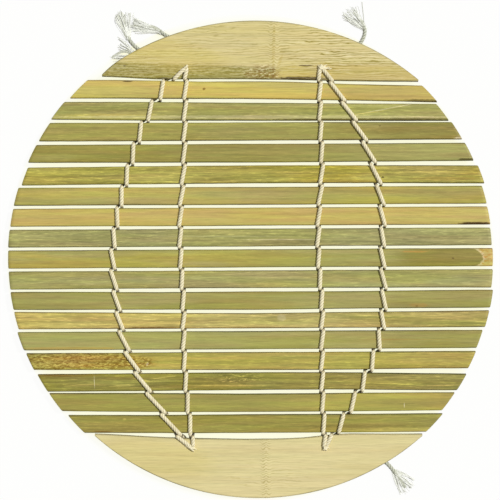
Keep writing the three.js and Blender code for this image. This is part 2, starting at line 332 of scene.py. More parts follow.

# Stains, scuffs and scratches, and one painted shadow: place (x, y) and half sizes in millimetres, tone,
# strength, and the turn in degrees of those that slant
MARKS = {
    "end_board_bottom": [(-42, -86, 30, 9, "gold", 0.28, -8)],
    "end_board_top": [
        (-40, 89, 34, 8, "gold", 0.45, -8), (-30, 77.6, 40, 2, "sage", 0.6, 2),
        (50, 79.4, 34, 6, "ochre", 0.65, -1), (18, 80.4, 10, 3.6, "gold", 0.7),
        (10, 92, 0.8, 12, "ochre", 0.4, -2), (6, 80, 5.6, 2.8, "moss", 0.85),
        (4.6, 81.4, 1.8, 0.5, "cream", 0.5, 20), (8.4, 79.8, 0.6, 1.3, "gold", 0.7, 10),
        (24, 83.6, 3.6, 0.36, "umber", 0.85), (22.5, 78.1, 12, 0.75, "umber", 0.95, -0.5),
        # (-37.5, 77.9) in umber: painted shadow along the board's lower edge beside the outer left lacing
        (-54.5, 83.5, 0.7, 0.4, "umber", 0.7), (-37.5, 77.9, 5, 0.9, "umber", 0.7),
        (12.4, 84.4, 0.7, 5, "ochre", 0.45, -20),
    ],
    "slat_01": [
        (-20.1, 73.4, 0.8, 0.6, "rust", 0.8, 20), (76, 68.3, 10, 0.8, "umber", 0.9, -2),
        (-53.2, 76.7, 2.4, 0.35, "umber", 0.8), (60, 75, 14, 0.4, "umber", 0.5, -1),
        (64, 72, 40, 7, "corn", 0.3),
    ],
    "slat_02": [
        (57.8, 64.6, 14, 0.34, "cream", 0.75, 10.6), (52, 63.3, 8, 0.34, "gold", 0.7, 7),
        (63, 65.4, 5, 0.25, "gold", 0.5, 12), (-60, 61.4, 30, 1.5, "gold", 0.5),
        (47, 60.3, 42, 0.6, "umber", 0.75), (0, 61.3, 110, 0.8, "straw", 0.5),
        (0, 64.6, 110, 1.4, "moss", 0.45),
    ],
    "slat_03": [
        (56, 57.5, 0.6, 0.4, "umber", 0.6), (80, 55, 28, 7, "bark", 0.8), (8, 55, 34, 7, "sage", 0.45),
        (90.5, 52.2, 2.6, 0.6, "cream", 0.6),
    ],
    "slat_04": [(93.5, 43, 4.5, 0.6, "umber", 0.8, 0.3), (4, 45.9, 50, 7, "bark", 0.35)],
    "slat_05": [
        (84, 34.6, 17, 1, "tan", 0.6), (80, 38.2, 9, 1.6, "gold", 0.4),
        (57.3, 35.2, 0.6, 0.5, "umber", 0.9), (86, 37, 34, 7, "bark", 0.35), (12, 37, 46, 7, "bark", 0.18),
        (-86, 37, 36, 7, "bark", 0.24),
    ],
    "slat_06": [(-40, 28.2, 66, 7, "honey", 0.14)],
    "slat_07": [(97, 15.2, 8, 0.75, "umber", 1, 0.3)],
    "slat_08": [
        (0, 9.2, 40, 7, "moss", 0.35), (-12, 9.6, 34, 0.4, "cream", 0.15),
        (14, 8.2, 20, 0.3, "cream", 0.35),
    ],
    "slat_09": [
        (86, 0.3, 25, 8, "bark", 0.9), (87.7, 0.2, 0.6, 0.45, "umber", 0.6), (71, 3, 6.5, 0.45, "tan", 0.7),
    ],
    "slat_10": [(-10, -8.8, 40, 7, "gold", 0.15)],
    "slat_11": [
        (73, -20.2, 5, 1, "tan", 0.5), (72, -20.6, 0.7, 0.5, "rust", 0.7), (84, -18, 28, 6, "bark", 0.25),
        (-84, -17.6, 32, 7, "moss", 0.4),
    ],
    "slat_12": [
        (13.4, -25.6, 2.2, 1.6, "cream", 0.35), (-42, -30.1, 15, 0.5, "rust", 0.9),
        (0, -30, 28, 0.35, "rust", 0.5), (6, -26.6, 42, 7, "honey", 0.22), (86, -26.6, 36, 7, "moss", 0.35),
    ],
    "slat_13": [
        (-78, -38.9, 24, 0.7, "tan", 0.5), (70, -35, 22, 0.3, "tan", 0.4), (84, -35.6, 32, 6, "bark", 0.35),
    ],
    "slat_14": [
        (-70, -44.6, 32, 3.6, "tan", 0.4), (-76.6, -46.4, 1, 0.35, "gold", 0.9, 40),
        (-62, -45.4, 1.8, 0.4, "gold", 0.9, 35), (-61, -43, 1, 0.5, "gold", 0.7),
        (-44.6, -45.6, 0.9, 0.5, "cream", 0.7, 60), (76, -45, 30, 6, "tan", 0.2),
        (74, -44, 36, 7, "bark", 0.16),
    ],
    "slat_15": [
        (-67.6, -53.4, 0.2, 3.1, "cream", 0.7, 2), (-78, -50.6, 15, 0.8, "rust", 0.5),
        (-55, -55, 6, 0.5, "gold", 0.6, 4), (-47, -52.6, 5, 0.35, "gold", 0.7, -9),
        (-37, -51.4, 6, 0.35, "gold", 0.6, 7), (-72, -54.6, 8, 0.35, "corn", 0.8, 3),
        (-70, -52, 9, 0.5, "tongue", 0.6), (83, -54.9, 9, 0.28, "gold", 0.8, 2),
        (62, -54.2, 10, 0.25, "gold", 0.6, -2), (-14, -55, 20, 0.3, "gold", 0.6),
    ],
    "slat_16": [(66.6, -63.4, 0.2, 1.2, "cream", 0.8), (-78, -62, 40, 7, "bark", 0.28)],
    "slat_17": [
        (-54.5, -69.5, 0.9, 0.5, "gold", 0.7), (-64, -74.9, 5, 0.4, "rust", 0.7),
        (0, -74.4, 70, 2, "corn", 0.4), (72, -74.6, 26, 1.8, "ochre", 0.5), (4, -71.6, 60, 7, "bark", 0.32),
    ],
}
# Chipped patches: middle, half sizes, and the tones of their dark and pale curls of fibre
CHIPPED = {
    "slat_14": [(-78, -44.6, 36, 6, "rust", "gold"), (-50, -45.2, 10, 3, "rust", "gold")],
    "slat_15": [(-6, -51.8, 14, 2.2, "tongue", "gold")],
    "end_board_top": [(5.2, 80.2, 9, 4, "rust", "cream")],
}
CURLS = 9
CURL_DARK = (0.3, 0.06, 0.0, 0.55)
CURL_SPECKLE = (0.48, 0.6, 0.0, 0.9)
CURL_PALE = (0.36, 0.47, 0.0, 0.9)
CURL_CLEAR = (0.56, 0.46)

# The tongue of darker skin before one slat's pale end: middle, half sizes and rim in millimetres
TONGUE_SLAT = "slat_09"
TONGUE = (92.2, 0.3, 8.2, 4.3)
TONGUE_RIM = 0.7
TONGUE_SOFT = 0.12
TONGUE_UNEVEN = 0.12
TONGUE_SPECKLE = (-0.2, 0.3)
TONGUE_RIM_SHARE = 0.5

# Grain of the end boards: its strength all over, its strength in one patch, and that patch in millimetres
GRAIN = {
    "end_board_top": (0.4, 0.95, (40, 91, 36, 14)),
    "end_board_bottom": (0.06, 0.34, (8, -94, 24, 10)),
}
GRAIN_SPACING = 1.1 * MM
GRAIN_WAVE = 2.8
GRAIN_SOFT = 0.9
GRAIN_BREAKS = (0.36, 0.56, 0.25, 1.0)
GRAIN_DARK = (0.2, 0.02)
GRAIN_PALE = (0.32, 0.48, 0.0, 0.8)
NODE_REACH = 3.6 * MM
NODE_STRENGTH = 0.55
NODE_FOLD = 1.7 * MM
NODE_SLOPE = 0.7

# How far long streaks and fine fibres change the tone of smooth bamboo, and how much more of flecked bamboo
STREAK = (0.06, 0.48)
FIBRE = (0.09, 0.5)

# How marks end: how deep they go, how soft and how ragged their outlines are
MARK_DEPTH = 1.6 * MM
MARK_EDGE = 1.1
MARK_SOFT = 0.5
MARK_RAGGED = 0.7
MARK_RAGGED_MOST = 0.35

# The darker skin along the top board's inner edge: its height at the middle, slope, soft ends and tones
SKIN_TOP = 83.2 * MM
SKIN_SLOPE = -0.034
SKIN_SOFT = 0.5 * MM
SKIN_END_SOFT = 6 * MM
SKIN_SPECKLE = (0.38, 0.62)
SKIN_TONES = ("lichen", "bark")
SKIN_SHARE = 0.95

# Noises of the bamboo: waves in a metre along, across and through a bar, detail and roughness
BAMBOO_NOISES = {
    "streaks": ((20, 700, 700), 5.0, 0.68),
    "fibres": ((130, 2600, 2600), 3.0, 0.6),
    "clouds": ((18, 190, 190), 3.0, 0.5),
    "tints": ((22, 380, 380), 3.0, 0.55),
    "dashes": ((260, 2300, 2300), 2.0, 0.5),
    "ripples": ((90, 420, 420), 3.0, 0.55),
    "swirls": ((70, 290, 290), 3.0, 0.62),
    "chips": ((550, 1500, 1500), 3.0, 0.6),
}
NOISE_STEPS = (3.1, 5.7, 1.3)

# Where and how much they shade it: the span of a noise or place, and for some the shares at its ends
NOISE_SPAN = (0.3, 0.7)
TONE_SPAN = (-60 * MM, 60 * MM)
CLOUD_SHARE = (0.42, 0.62, 0.0, 0.75)
RAGGED = (0.25, 0.75, -0.5, 0.5)
RIM_SPAN = (0.5, 1.0)
RIM_SHADE = (*NOISE_SPAN, 0.25, 0.7)
FIBRE_SPAN = (0.4, 0.75)
FIBRE_GLOW = 1.05
DASH_SPAN = (0.52, 0.7)
TINT_SPAN = (0.32, 0.68)
BAMBOO_ROUGHNESS = (*NOISE_SPAN, 0.45, 0.65)
BAMBOO_SPECULAR = 0.25
BAMBOO_BUMP = (0.4, 0.12 * MM)
STREAK_HEIGHT = 0.8

# How far a bar's hue and saturation drift along it
SAME_HUE = 0.5
HUE_DRIFT = 0.014
BOARD_DRIFT = 0.004
SATURATION = 1.05
SATURATION_DRIFT = 0.03


def color(name):
    """A tone as linear colour."""
    channels = [int(TONES[name][i:i + 2], 16) / 255 for i in (1, 3, 5)]
    return (*[c / 12.92 if c <= 0.04045 else ((c + 0.055) / 1.055) ** 2.4 for c in channels], 1.0)


def body_of(name):
    """The end board that carries a piece named after its corner."""
    return "end_board_bottom" if "bottom" in name else "end_board_top"


def wander(x, seed, waves):
    """Smooth noise from -1 to 1 along a bar, with so many waves in a metre."""
    return noise.noise(Vector((x * waves, seed * SEED_STEP, SEED_PLANE)))


def face_relief(x, y, waves, seed):
    """How far a bar's upper face stands above or below smooth."""
    return FACE_RELIEF * noise.noise(Vector((x * waves[0], y * waves[1], seed)))


def spline(before, v0, v1, after, p):
    """A smooth curve from v0 to v1 for p from 0 to 1."""
    return (v0 + 0.5 * p * (v1 - before)
            + p * p * (before - 2.5 * v0 + 2 * v1 - 0.5 * after)
            + 0.5 * p ** 3 * (3 * (v0 - v1) + after - before))


def add_object(name, data):
    thing = bpy.data.objects.new(name, data)
    bpy.context.scene.collection.objects.link(thing)
    return thing


def mesh_object(name, vertices, faces, material):
    mesh = bpy.data.meshes.new(name)
    mesh.from_pydata(vertices, [], faces)
    mesh.materials.append(material)
    mesh.polygons.foreach_set("use_smooth", [True] * len(mesh.polygons))
    mesh.set_sharp_from_angle(angle=SHARP_ANGLE)
    mesh.update()
    return add_object(name, mesh)


def set_values(piece, name, values):
    """Gives each point of a piece a number for its material."""
    piece.data.attributes.new(name, "FLOAT", "POINT").data.foreach_set("value", values)


def ring_faces(rings, size, first=0):
    """Faces of a closed tube of so many rings, with flat ends."""
    last = first + (rings - 1) * size
    steps = [(k, (k + 1) % size) for k in range(size)]
    faces = [
        (a + k, a + n, a + size + n, a + size + k)
        for a in range(first, last, size) for k, n in steps
    ]
    return [*faces, tuple(reversed(range(first, first + size))), tuple(range(last, last + size))]


class Graph:
    """Short calls for a material's nodes. An input that is given a socket is linked to it."""

    def __init__(self, name):
        self.material = bpy.data.materials.new(name)
        self.material.use_nodes = True
        self.tree = self.material.node_tree
        self.shader = self.tree.nodes["Principled BSDF"]

    def put(self, socket, value):
        if isinstance(value, bpy.types.NodeSocket):
            self.tree.links.new(value, socket)
        else:
            socket.default_value = value

    def add(self, kind, inputs, output=0, **settings):
        node = self.tree.nodes.new(f"ShaderNode{kind}")
        for key, value in settings.items():
            setattr(node, key, value)
        for key, value in inputs.items():
            self.put(node.inputs[key], value)
        return node.outputs[output]

    def surface(self, values):
        for name, value in values.items():
            self.put(self.shader.inputs[name], value)

    def math(self, operation, a, b=0.0):
        return self.add("Math", {0: a, 1: b}, operation=operation)

    def plus(self, a, b):
        return self.math("ADD", a, b)

    def times(self, a, b):
        return self.math("MULTIPLY", a, b)

    def most(self, a, b):
        return self.math("MAXIMUM", a, b)

    def folded(self, value):
        """0 at whole numbers and 0.5 half way between them."""
        return self.math("PINGPONG", value, 0.5)

    def mix(self, factor, a, b):
        return self.add("Mix", {0: factor, 6: a, 7: b}, 2, data_type="RGBA")

    def ramp(self, value, low, high, to_low=0.0, to_high=1.0):
        inputs = {0: value, 1: low, 2: high, 3: to_low, 4: to_high}
        return self.add("MapRange", inputs, interpolation_type="SMOOTHSTEP")

    def object_place(self):
        return self.add("TexCoord", {}, "Object")

    def axis(self, place, name):
        return self.add("SeparateXYZ", {0: place}, name)

    def length(self, place):
        return self.add("VectorMath", {0: place}, "Value", operation="LENGTH")

    def attribute(self, name, output="Fac"):
        return self.add("Attribute", {}, output, attribute_name=name)

    def stretched_noise(self, place, shift, stretch, detail, roughness):
        vector = self.add("Mapping", {"Vector": place, "Location": shift, "Scale": stretch})
        inputs = {"Vector": vector, "Scale": 1.0, "Detail": detail, "Roughness": roughness}
        return self.add("TexNoise", inputs)

    def within(self, place, x, y, half_x, half_y, turn=0, uneven=0.0, soft=MARK_SOFT):
        """1 inside an ellipse on a bar's upper face, 0 outside. An uneven amount roughens its outline."""
        inputs = {
            "Vector": place,
            "Location": (x * MM, y * MM, FACE),
            "Rotation": (0.0, 0.0, math.radians(turn)),
            "Scale": (half_x * MM, half_y * MM, MARK_DEPTH),
        }
        near = self.add("Mapping", inputs, vector_type="TEXTURE")
        return self.ramp(self.plus(self.length(near), uneven), MARK_EDGE, MARK_EDGE - soft)

    def mark(self, base, place, ragged, x, y, half_x, half_y, tone, strength, turn=0):
        """Lays one mark over a colour: a stain, scuff or scratch, or the painted shadow by the outer left
        lacing.
        """
        uneven = self.times(ragged, min(MARK_RAGGED_MOST, MARK_RAGGED / half_y))
        share = self.times(self.within(place, x, y, half_x, half_y, turn, uneven), strength)
        return self.mix(share, base, color(tone))

    def bump(self, height, strength, distance):
        inputs = {"Height": height, "Strength": strength, "Distance": distance}
        self.surface({"Normal": self.add("Bump", inputs)})


# Camera, light and floor

def add_camera():
    data = bpy.data.cameras.new("camera")
    data.lens = LENS
    data.sensor_width = SENSOR
    camera = add_object("camera", data)
    camera.location = (*VIEW_CENTRE, FACE + VIEW_WIDTH * LENS / SENSOR)
    bpy.context.scene.camera = camera


def add_light():
    """An even sky, and a key light from the upper right."""
    world = bpy.data.worlds.new("studio")
    bpy.context.scene.world = world
    world.use_nodes = True
    sky = world.node_tree.nodes["Background"].inputs
    sky["Color"].default_value = SKY_COLOR
    sky["Strength"].default_value = SKY_STRENGTH
    data = bpy.data.lights.new("key", "SUN")
    data.energy = SUN_STRENGTH
    data.angle = math.radians(SUN_ANGLE)
    key = add_object("key", data)
    key.rotation_euler = (*[math.radians(turn) for turn in SUN_TURN], 0)


def add_floor():
    """A pale floor that reads white and keeps a light shadow, warmed under the mat by the bamboo."""
    graph = Graph("floor")
    graph.surface(FLOOR_SURFACE)
    path = graph.tree.nodes.new("ShaderNodeLightPath").outputs
    seen = graph.most(path["Is Camera Ray"], path["Is Glossy Ray"])
    seen = graph.most(seen, path["Is Transmission Ray"])
    reach = {"Distance": BOUNCE_REACH}
    openness = graph.add("AmbientOcclusion", reach, "AO", samples=BOUNCE_SAMPLES)
    far = graph.length(graph.object_place())
    openness = graph.most(openness, graph.ramp(far, MAT_RADIUS, MAT_RADIUS + BOUNCE_FADE))
    tint = graph.mix(graph.ramp(openness, *BOUNCE_SPAN), BOUNCE_TINT, FLOOR_WHITE)
    glow = graph.add("Emission", {"Color": tint, "Strength": 1.0})
    share = graph.times(seen, FLOOR_GLOW)
    shader = graph.add("MixShader", {0: share, 1: graph.shader.outputs[0], 2: glow})
    graph.put(graph.tree.nodes["Material Output"].inputs["Surface"], shader)
    r = FLOOR_REACH
    corners = [(-r, -r, 0), (r, -r, 0), (r, r, 0), (-r, r, 0)]
    mesh_object("floor", corners, [(0, 1, 2, 3)], graph.material)


# Bamboo

def smooth_value(values, share):
    """A smooth curve through evenly spaced values, from 0 at the first to 1 at the last."""
    spans = len(values) - 1
    k = max(0, min(int(share * spans), spans - 1))
    v0, v1 = values[k], values[k + 1]
    before = values[k - 1] if k > 0 else 2 * v0 - v1
    after = values[k + 2] if k + 2 <= spans else 2 * v1 - v0
    return spline(before, v0, v1, after, share * spans - k)


def plain_edge(index, side, x):
    """The edge of the bar above (1) or below (-1) a gap."""
    above, below = EDGES[index]
    share = (x + EDGE_REACH) / (2 * EDGE_REACH)
    return GAP_Y[index] + side * MM * smooth_value(above if side > 0 else below, share)


def edge(index, side, x):
    """The same edge with the small waves and nicks of split bamboo."""
    seed = 2 * index + (side > 0)
    waves = EDGE_WANDER * wander(x, seed, WANDER_WAVES)
    return plain_edge(index, side, x) + (waves + EDGE_NICK * wander(x, seed + NICK_SEED, NICK_WAVES))


def gap_line(index, x):
    return (plain_edge(index, 1, x) + plain_edge(index, -1, x)) / 2


def bar_ring(low, high, rows):
    """Points (y, z) round a bar's section, with rounded edges."""
    r = min(EDGE_ROUND, ROUND_MOST * (high - low))
    h = HALF_THICK
    flat = high - low - 2 * r
    points = []

    def corner(y, z, start):
        for step in range(ARC_STEPS + 1):
            angle = math.radians(start + 90 * step / ARC_STEPS)
            points.append((y + r * math.cos(angle), z + r * math.sin(angle)))

    corner(low + r, -h + r, 180)
    points.extend((low + r + flat * k / (rows // 2), -h) for k in range(1, rows // 2))
    corner(high - r, -h + r, 270)
    corner(high - r, h - r, 0)
    points.extend((high - r - flat * k / rows, h) for k in range(1, rows))
    corner(low + r, h - r, 90)
    return points


def rim(y, low, high):
    """1 at the edge of a bar, falling to 0 a little way in."""
    return max(0.0, 1 - min(y - low, high - y) / RIM_REACH)


def hole_place(corner):
    gap, x, _ = HOLES[corner]
    side = 1 if gap == 0 else -1
    return x, GAP_Y[gap] + side * (HALF_GAP + HOLE_SETBACK)


def cut_holes(piece, places):
    """Drills the cord holes through an end board."""
    turns = [2 * math.pi * k / HOLE_SIDES for k in range(HOLE_SIDES)]
    for x, y in places:
        vertices = [
            (x + HOLE_RADIUS * math.cos(turn), y + HOLE_RADIUS * math.sin(turn), MIDDLE + depth)
            for depth in (-DRILL_REACH, DRILL_REACH) for turn in turns
        ]
        drill = mesh_object("drill", vertices, ring_faces(2, HOLE_SIDES), piece.data.materials[0])
        cut = piece.modifiers.new("hole", "BOOLEAN")
        cut.operation = "DIFFERENCE"
        cut.solver = "EXACT"
        cut.object = drill
        bpy.context.view_layer.update()
        shaped = piece.evaluated_get(bpy.context.evaluated_depsgraph_get())
        mesh = bpy.data.meshes.new_from_object(shaped)
        piece.modifiers.clear()
        piece.data = mesh
        bpy.data.objects.remove(drill)
    piece.data.set_sharp_from_angle(angle=SHARP_ANGLE)


def add_bar(name, node, material, vertices, rims, stations, holes=()):
    """Makes a slat or end board from rings of points at its stations."""
    piece = mesh_object(name, vertices, ring_faces(stations, len(vertices) // stations), material)
    set_values(piece, "rim", rims)
    cut_holes(piece, holes)
    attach(piece, node)
    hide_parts(node)


def slat_end(y):
    return math.sqrt(MAT_RADIUS ** 2 - y ** 2)


def end_shifts(index):
    """How far a slat's left and right ends lie to the right of the round."""
    low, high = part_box(SLATS[index - 1])
    bottom, top = GAP_Y[index] + HALF_GAP, GAP_Y[index - 1] - HALF_GAP
    reach = slat_end(0.0 if bottom < 0 < top else min(abs(bottom), abs(top)))
    return low.x + reach, high.x - reach


def add_slat(index, material):
    """One split slat between two gaps, with a slightly crowned face and its ends cut to the round."""
    node = SLATS[index - 1]
    half = slat_end((GAP_Y[index - 1] + GAP_Y[index]) / 2)
    left, right = end_shifts(index)
    shares = np.linspace(-1 + END_ROUND / half, 1 - END_ROUND / half, SLAT_STATIONS)
    vertices = []
    rims = []
    for share in [-1.0, *shares, 1.0]:
        trim = END_ROUND if abs(share) == 1.0 else 0.0
        shift = (left + right + share * (right - left)) / 2
        x = share * half + shift
        low = edge(index, 1, x) + trim
        high = edge(index - 1, -1, x) - trim
        for y, z in bar_ring(low, high, SLAT_ROWS):
            place = share * slat_end(y) + shift
            z = math.copysign(abs(z) - trim, z)
            if z > 0:
                across = (2 * y - low - high) / (high - low)
                z -= CROWN * across ** 2
                z += face_relief(place, y, SLAT_WAVES, index * SLAT_SEED_STEP)
            vertices.append((place, y, MIDDLE + z))
            rims.append(1.0 if trim else rim(y, low, high))
    add_bar(f"bamboo_{node}", node, material, vertices, rims, SLAT_STATIONS + 2)


def board_arc(end, x):
    """The round edge of an end board. The top board's left tip is worn away a little."""
    low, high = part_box(f"end_board_{end}")
    rise = high.y - low.y
    half = (high.x - low.x) / 2
    radius = (half ** 2 + rise ** 2) / (2 * rise)
    crown = math.sqrt(radius ** 2 - (x - (low.x + high.x) / 2) ** 2) - radius
    if end == "bottom":
        return low.y - crown
    dirt_and_shade_tones = max(0.0, (WORN_START - x) / WORN_LENGTH)
    return high.y + crown - WORN_DEPTH * dirt_and_shade_tones ** 2


def board_span(end, x):
    """Lowest and highest y of an end board at a place along it."""
    if end == "top":
        return edge(0, 1, x), board_arc(end, x)
    return board_arc(end, x), edge(LAST_GAP, -1, x)


def board_tip(end, side):
    """How far an end board reaches to one side before its point gets too thin."""
    near, far = 0.0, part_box(f"end_board_{end}")[1].x * TIP_REACH
    for _ in range(TIP_TRIES):
        middle = (near + far) / 2
        low, high = board_span(end, side * middle)
        near, far = (middle, far) if high - low > TIP_HEIGHT else (near, middle)
    return side * near


def board_relief(end, x, y):
    """How far an end board's face stands above or below flat."""
    relief = face_relief(x, y, BOARD_WAVES, len(end))
    joint = BOARD_NODES[end] + NODE_WANDER * wander(y, NODE_SEED, NODE_WAVES)
    relief += NODE_RIDGE * math.exp(-((x - joint) / NODE_HALF) ** 2)
    if end == "top":
        depth = max(0.0, 1 - (y - edge(0, 1, x)) / SKIN_WIDTH)
        fade = 1 / (1 + math.exp((x - SKIN_END) / SKIN_FADE))
        relief -= SKIN_DROP * fade * depth ** 2
    return relief


def add_board(end, material):
    """One end board, with a straight edge along the slats and a round one."""
    node = f"end_board_{end}"
    left, right = board_tip(end, -1), board_tip(end, 1)
    vertices = []
    rims = []
    for angle in np.linspace(-math.pi / 2, math.pi / 2, BOARD_STATIONS):
        x = (left + right) / 2 + math.sin(angle) * (right - left) / 2
        low, high = board_span(end, x)
        for y, z in bar_ring(low, high, BOARD_ROWS):
            if z > 0:
                z += board_relief(end, x, y)
            vertices.append((x, y, MIDDLE + z))
            rims.append(rim(y, low, high))
    holes = [hole_place(corner) for corner in HOLES if corner.startswith(end)]
    name = f"bamboo_board_{end}"
    add_bar(name, node, material, vertices, rims, BOARD_STATIONS, holes)


def grain(graph, base, place, node, ripples, swirls):
    """Draws fine, wavy grain lines with paler glints, strongest in a patch and at the growth ring."""
    overall, most, patch = GRAIN[node]
    along = graph.axis(place, "X")
    from_ring = graph.math("ABSOLUTE", graph.math("SUBTRACT", along, BOARD_NODES[node.split("_")[-1]]))
    ring = graph.ramp(from_ring, NODE_REACH, 0.0)
    fold = graph.times(ring, graph.math("PINGPONG", along, NODE_FOLD))
    across = graph.plus(graph.axis(place, "Y"), graph.times(fold, NODE_SLOPE))
    lines = graph.math("DIVIDE", across, GRAIN_SPACING)
    lines = graph.folded(graph.plus(lines, graph.times(ripples, GRAIN_WAVE)))
    strength = graph.ramp(graph.within(place, *patch, soft=GRAIN_SOFT), 0.0, 1.0, overall, most)
    strength = graph.times(strength, graph.ramp(swirls, *GRAIN_BREAKS))
    strength = graph.most(strength, graph.times(ring, NODE_STRENGTH))
    dark = graph.times(strength, graph.ramp(lines, *GRAIN_DARK))
    pale = graph.times(strength, graph.ramp(lines, *GRAIN_PALE))
    return graph.mix(pale, graph.mix(dark, base, color("grain")), color("cream"))


def skin(graph, base, place, chips, ragged):
    """Lays the darker, rough-edged skin along the top board's inner edge."""
    x = graph.axis(place, "X")
    level = graph.math("SUBTRACT", graph.axis(place, "Y"), graph.times(x, SKIN_SLOPE))
    level = graph.plus(level, graph.times(ragged, 2 * SKIN_SOFT))
    share = graph.ramp(level, SKIN_TOP + SKIN_SOFT, SKIN_TOP - SKIN_SOFT, 0.0, SKIN_SHARE)
    share = graph.times(share, graph.ramp(x, SKIN_END + SKIN_END_SOFT, SKIN_END - SKIN_END_SOFT))
    pale, dark = SKIN_TONES
    speckled = graph.mix(graph.ramp(chips, *SKIN_SPECKLE), color(pale), color(dark))
    return graph.mix(share, base, speckled)


def chipped(graph, base, place, swirls, chips, patch):
    """Roughens a patch with the dark and pale curls of torn fibres."""
    *shape, dark_tone, pale_tone = patch
    share = graph.within(place, *shape)
    bands = graph.folded(graph.times(swirls, CURLS))
    dark = graph.times(share, graph.ramp(bands, *CURL_DARK))
    speckle = graph.times(share, graph.ramp(chips, *CURL_SPECKLE))
    pale = graph.times(share, graph.ramp(bands, *CURL_PALE))
    pale = graph.times(pale, graph.ramp(chips, *CURL_CLEAR))
    base = graph.mix(graph.most(dark, speckle), base, color(dark_tone))
    return graph.mix(pale, base, color(pale_tone))


def split_end(graph, base, place, along, ragged):
    """Bares the pale end of a slat past the tip of its tongue of skin, with a rim round the tip."""
    x, y, half_x, half_y = TONGUE
    uneven = graph.times(ragged, TONGUE_UNEVEN)
    tip, rim_tip = [
        graph.within(place, x, y, half_x + more, half_y + more, 0, uneven, TONGUE_SOFT)
        for more in (0, TONGUE_RIM)
    ]
    past = graph.ramp(along, x * MM, (x + half_x / 2) * MM)
    bare = graph.times(graph.math("SUBTRACT", 1.0, tip), past)
    speckled = graph.mix(graph.ramp(ragged, *TONGUE_SPECKLE), color("ochre"), color("tan"))
    base = graph.mix(bare, base, speckled)
    return graph.mix(graph.times(bare, graph.times(rim_tip, TONGUE_RIM_SHARE)), base, color("cream"))


def bamboo_material(node, left, right, cloud, flecks, seed):
    """Split bamboo: streaks, fibres, clouds of tone, pale flecks, dark rims and its own marks."""
    streak = STREAK[0] + STREAK[1] * flecks
    fibre = FIBRE[0] + FIBRE[1] * flecks
    drift = BOARD_DRIFT if node in GRAIN else HUE_DRIFT
    graph = Graph(f"bamboo_{node}")
    place = graph.object_place()
    along = graph.axis(place, "X")
    shift = [seed * step for step in NOISE_STEPS]
    noises = [graph.stretched_noise(place, shift, *look) for look in BAMBOO_NOISES.values()]
    streaks, fibres, clouds, tints, dashes, ripples, swirls, chips = noises
    base = graph.mix(graph.ramp(along, *TONE_SPAN), color(left), color(right))
    base = graph.mix(graph.ramp(clouds, *CLOUD_SHARE), base, color(cloud))
    ragged = graph.ramp(chips, *RAGGED)
    if node == "end_board_top":
        base = skin(graph, base, place, chips, ragged)
    for spot in MARKS.get(node, ()):
        base = graph.mark(base, place, ragged, *spot)
    if node in GRAIN:
        base = grain(graph, base, place, node, ripples, swirls)
    if node == TONGUE_SLAT:
        base = split_end(graph, base, place, along, ragged)
    for patch in CHIPPED.get(node, ()):
        base = chipped(graph, base, place, swirls, chips, patch)
    rim_line = graph.times(graph.ramp(graph.attribute("rim"), *RIM_SPAN), graph.ramp(clouds, *RIM_SHADE))
    gain = graph.ramp(streaks, *NOISE_SPAN, 1.0 - streak, 1.0 + streak)
    gain = graph.times(gain, graph.ramp(fibres, *FIBRE_SPAN, FIBRE_GLOW, 1.0 - fibre))
    gain = graph.times(gain, graph.ramp(dashes, *DASH_SPAN, 1.0, 1.0 + flecks))
    gain = graph.times(gain, graph.math("SUBTRACT", 1.0, rim_line))
    pure, dull = SATURATION + SATURATION_DRIFT, SATURATION - SATURATION_DRIFT
    tone = {
        "Hue": graph.ramp(tints, *TINT_SPAN, SAME_HUE - drift, SAME_HUE + drift),
        "Saturation": graph.ramp(clouds, *NOISE_SPAN, pure, dull),
        "Value": gain,
        "Color": base,
    }
    graph.surface({
        "Base Color": graph.add("HueSaturation", tone),
        "Roughness": graph.ramp(fibres, *BAMBOO_ROUGHNESS),
        "Specular IOR Level": BAMBOO_SPECULAR,
    })
    graph.bump(graph.plus(fibres, graph.times(streaks, STREAK_HEIGHT)), *BAMBOO_BUMP)
    return graph.material


# Twine

def twine_material(name, tone, shade, dirt_and_shade_tones=None):
    """Cotton twine: shaded grooves between the plies, and fine fibres. Given greyer tones, twine greys
    towards them along its length with painted shade and some dirt.
    """
    graph = Graph(name)
    groove = graph.attribute("groove")
    fibre_place = graph.attribute("fibre", "Vector")
    tone, shade = color(tone), color(shade)
    if dirt_and_shade_tones:
        # Painted shade, with some dirt: the twine greys along it from its start
        dirt_and_shade = graph.ramp(graph.axis(fibre_place, "X"), *DIRT_AND_SHADE_SPAN)
        tone = graph.mix(dirt_and_shade, tone, color(dirt_and_shade_tones[0]))
        shade = graph.mix(dirt_and_shade, shade, color(dirt_and_shade_tones[1]))
    fibres = graph.stretched_noise(fibre_place, (0, 0, 0), *TWINE_FIBRES)
    clouds = graph.stretched_noise(graph.object_place(), (0, 0, 0), *TWINE_CLOUDS)
    base = graph.mix(graph.ramp(groove, *GROOVE_SHADE), tone, shade)
    base = graph.mix(graph.ramp(fibres, *FIBRE_SHADE), base, shade)
    base = graph.mix(graph.ramp(clouds, *CLOUD_SHADE), base, shade)
    base = graph.mix(graph.ramp(groove, *GAP_SHADE), base, color("shade"))
    graph.surface({"Base Color": base, **TWINE_SURFACE})
    graph.bump(fibres, *TWINE_BUMP)
    return graph.material


def tube_piece(name, tubes, material):
    """One piece of tubes of twine or yarn: their rings of points, and the groove and fibre at each."""
    vertices = []
    faces = []
    for rings, _, _ in tubes:
        faces += ring_faces(*rings.shape[:2], len(vertices))
        vertices += map(tuple, rings.reshape(-1, 3))
    piece = mesh_object(name, vertices, faces, material)
    set_values(piece, "groove", [value for _, grooves, _ in tubes for value in grooves.ravel()])
    fibres = [value for _, _, fibres in tubes for value in fibres.ravel()]
    piece.data.attributes.new("fibre", "FLOAT_VECTOR", "POINT").data.foreach_set("vector", fibres)
    return piece


def unit(vectors):
    return vectors / np.linalg.norm(vectors, axis=1)[:, None]


